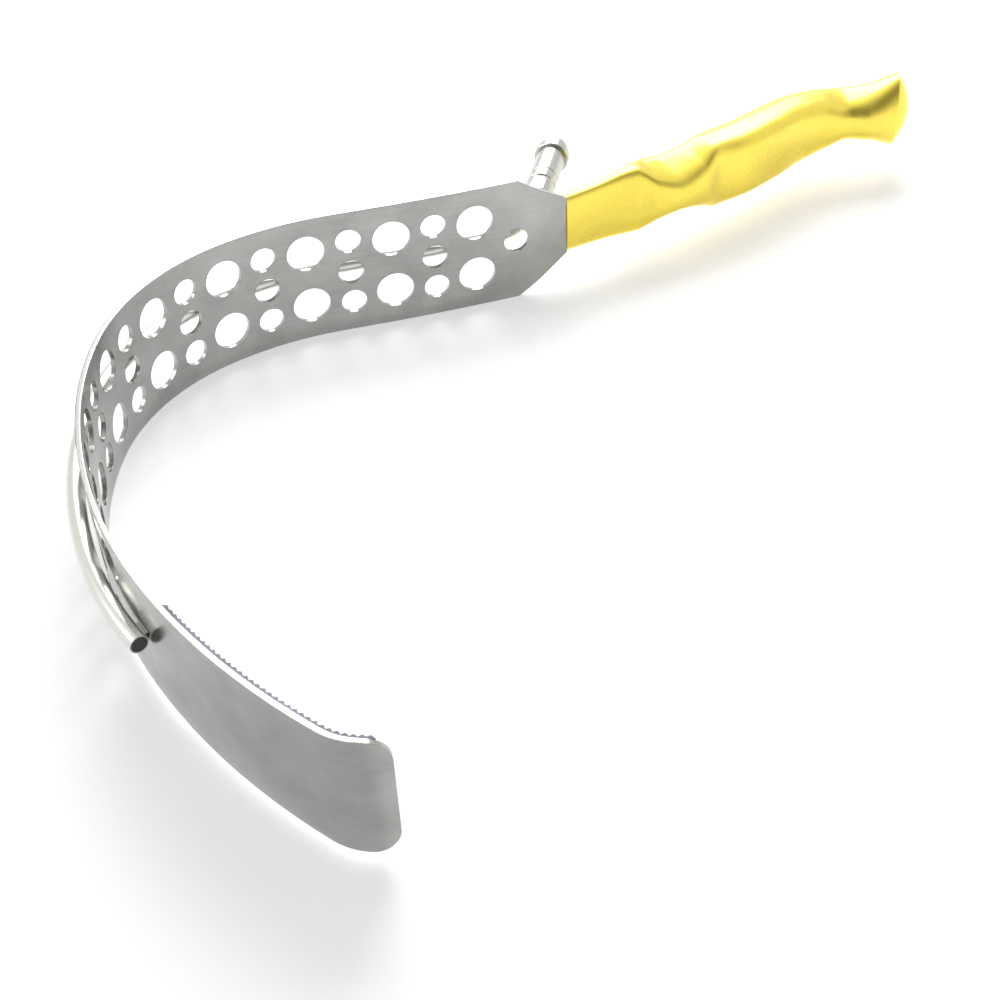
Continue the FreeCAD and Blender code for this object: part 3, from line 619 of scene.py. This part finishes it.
class RETRACTOR_OT_studio(bpy.types.Operator):
    """Sets the pale floor, the soft light and the camera"""

    bl_idname = "retractor.studio"
    bl_label = "Studio"

    def execute(self, context):
        look = context.scene.retractor_studio
        self.floor(context, look)
        self.world(context, look)
        self.lamps(context, look)
        self.camera(context)
        context.scene.view_settings.view_transform = "Standard"
        return {"FINISHED"}

    def seen(self, tree):
        """One for camera, glossy and transmission rays, and zero for the rest."""
        path = node(tree, "ShaderNodeLightPath", (-600, 300))
        first = node(tree, "ShaderNodeMath", (-400, 300), operation="MAXIMUM")
        second = node(tree, "ShaderNodeMath", (-200, 300), operation="MAXIMUM")
        link(tree, path.outputs["Is Camera Ray"], first.inputs[0])
        link(tree, path.outputs["Is Glossy Ray"], first.inputs[1])
        link(tree, first.outputs[0], second.inputs[0])
        link(tree, path.outputs["Is Transmission Ray"], second.inputs[1])
        return second.outputs[0]

    def floor(self, context, look):
        """A flat square grid just under the model, in a pale matt colour that fades to white far off."""
        row = FLOOR_STEPS + 1
        side = np.linspace(-FLOOR_HALF, FLOOR_HALF, row)
        x, y = np.meshgrid(side, side)
        vertices = np.stack([x, y, np.full_like(x, -FLOOR_BELOW)], axis=-1).reshape(-1, 3)
        i, j = np.meshgrid(np.arange(FLOOR_STEPS), np.arange(FLOOR_STEPS), indexing="ij")
        corner = (i * row + j).ravel()
        quads = np.stack([corner, corner + 1, corner + row + 1, corner + row], axis=-1)
        mesh = bpy.data.meshes.new("floor")
        mesh.from_pydata(vertices.tolist(), [], quads.tolist())
        floor = bpy.data.objects.new("floor", mesh)
        context.scene.collection.objects.link(floor)
        material, tree, surface = empty_material("pale_floor")
        grain = stretched_noise(tree, (700.0, 700.0, 700.0), 2.0, (-200, 0))
        colour = tuple(look.floor)
        low = tuple(channel * (1 - FLOOR_SPREAD) for channel in colour)
        link(tree, tinted(tree, grain, low, colour, (200, 200)), surface.inputs["Base Color"])
        surface.inputs["Roughness"].default_value = 0.9
        surface.inputs["Specular IOR Level"].default_value = 0.0
        surface.inputs["Emission Color"].default_value = (1.0, 1.0, 1.0, 1.0)
        where = node(tree, "ShaderNodeTexCoord", (-400, -500))
        distance = node(tree, "ShaderNodeVectorMath", (-200, -500), operation="LENGTH")
        link(tree, where.outputs["Object"], distance.inputs[0])
        rising = ranged(tree, distance.outputs["Value"], look.lift, FAR_LIFT, (0, -500), *LIFT_RISES)
        lift = node(tree, "ShaderNodeMath", (300, -300), operation="MULTIPLY")
        link(tree, rising, lift.inputs[1])
        link(tree, self.seen(tree), lift.inputs[0])
        link(tree, lift.outputs[0], surface.inputs["Emission Strength"])
        mesh.materials.append(material)

    def world(self, context, look):
        """A white world that reflections see darker on one side, and that lights at the fill's strength."""
        world = bpy.data.worlds.new("studio_world")
        context.scene.world = world
        world.use_nodes = True
        tree = world.node_tree
        tree.nodes.clear()
        output = node(tree, "ShaderNodeOutputWorld", (400, 0))
        background = node(tree, "ShaderNodeBackground", (200, 0))
        background.inputs["Color"].default_value = (1.0, 1.0, 1.0, 1.0)
        strength = node(tree, "ShaderNodeMapRange", (-200, 0))
        strength.inputs["To Min"].default_value = look.fill
        strength.inputs["To Max"].default_value = 1.0
        link(tree, self.seen(tree), strength.inputs["Value"])
        where = node(tree, "ShaderNodeTexCoord", (-800, -200))
        towards = node(tree, "ShaderNodeVectorMath", (-600, -200), operation="DOT_PRODUCT")
        towards.inputs[1].default_value = DARK_SIDE
        link(tree, where.outputs["Generated"], towards.inputs[0])
        value = towards.outputs["Value"]
        shade = ranged(tree, value, 1.0, look.dark_side, (-400, -200), DARK_FROM, DARK_TO)
        path = node(tree, "ShaderNodeLightPath", (-400, -500))
        plain = node(tree, "ShaderNodeMath", (-200, -300), operation="MAXIMUM")
        link(tree, shade, plain.inputs[0])
        link(tree, path.outputs["Is Camera Ray"], plain.inputs[1])
        both = node(tree, "ShaderNodeMath", (0, 0), operation="MULTIPLY")
        link(tree, strength.outputs[0], both.inputs[0])
        link(tree, plain.outputs[0], both.inputs[1])
        link(tree, both.outputs[0], background.inputs["Strength"])
        link(tree, background.outputs[0], output.inputs[0])

    def lamps(self, context, look):
        """Two square softboxes aimed at the model. The side one shows only in reflections."""
        for name, place, size, power, lights_matt in (
            ("back_softbox", (0.28, 0.86, 0.79), 0.8, look.softbox, True),
            ("side_softbox", (-1.0, 0.12, 0.78), 0.9, look.side_softbox, False),
        ):
            lamp = bpy.data.lights.new(name, "AREA")
            lamp.shape = "SQUARE"
            lamp.size = size
            lamp.energy = power
            made = bpy.data.objects.new(name, lamp)
            made.location = place
            made.rotation_euler = (-Vector(place)).to_track_quat("-Z", "Y").to_euler()
            made.visible_camera = False
            made.visible_diffuse = lights_matt
            context.scene.collection.objects.link(made)

    def camera(self, context):
        """A camera at the photo's place, turned by its three axes."""
        data = bpy.data.cameras.new("photo_camera")
        data.lens = CAMERA_LENS
        data.sensor_width = CAMERA_SENSOR
        data.clip_start = 0.01
        data.clip_end = 10.0
        made = bpy.data.objects.new("photo_camera", data)
        turn = Matrix((CAMERA_RIGHT, CAMERA_UP, CAMERA_BACK)).transposed()
        made.matrix_world = Matrix.Translation(CAMERA_PLACE) @ turn.to_quaternion().to_matrix().to_4x4()
        context.scene.collection.objects.link(made)
        context.scene.camera = made


class RETRACTOR_PT_panel(bpy.types.Panel):
    """The retractor's pieces"""

    bl_label = "Abdominal Retractor"
    bl_space_type = "VIEW_3D"
    bl_region_type = "UI"
    bl_category = "Retractor"

    def draw(self, context):
        scene = context.scene
        for group, names in (
            (scene.retractor_blade, ("steel", "roughness", "grain", "edge")),
            (scene.retractor_handle, ("crown", "points", "gold", "roughness")),
            (scene.retractor_inlet, ("pitch", "depth")),
            (scene.retractor_studio, ("floor", "lift", "softbox", "side_softbox", "fill", "dark_side")),
        ):
            for name in names:
                self.layout.prop(group, name)
        for operator in OPERATORS:
            self.layout.operator(operator.bl_idname)


GROUPS = (
    ("retractor_blade", BladeFinish),
    ("retractor_handle", HandleForm),
    ("retractor_inlet", InletForm),
    ("retractor_studio", StudioLook),
)
OPERATORS = (
    RETRACTOR_OT_studio,
    RETRACTOR_OT_blade,
    RETRACTOR_OT_serrations,
    RETRACTOR_OT_handle,
    RETRACTOR_OT_light_guide,
    RETRACTOR_OT_inlet,
    RETRACTOR_OT_adaptor,
)


def register():
    """Registers the groups and keeps one of each on the scene, then the operators and the panel."""
    for name, group in GROUPS:
        bpy.utils.register_class(group)
        setattr(bpy.types.Scene, name, PointerProperty(type=group))
    for made in (*OPERATORS, RETRACTOR_PT_panel):
        bpy.utils.register_class(made)


def unregister():
    for made in reversed((*OPERATORS, RETRACTOR_PT_panel)):
        bpy.utils.unregister_class(made)
    for name, group in reversed(GROUPS):
        delattr(bpy.types.Scene, name)
        bpy.utils.unregister_class(group)


def main():
    """Builds everything in order."""
    register()
    for operator in OPERATORS:
        area, name = operator.bl_idname.split(".")
        getattr(getattr(bpy.ops, area), name)()


if __name__ == "__main__":
    main()
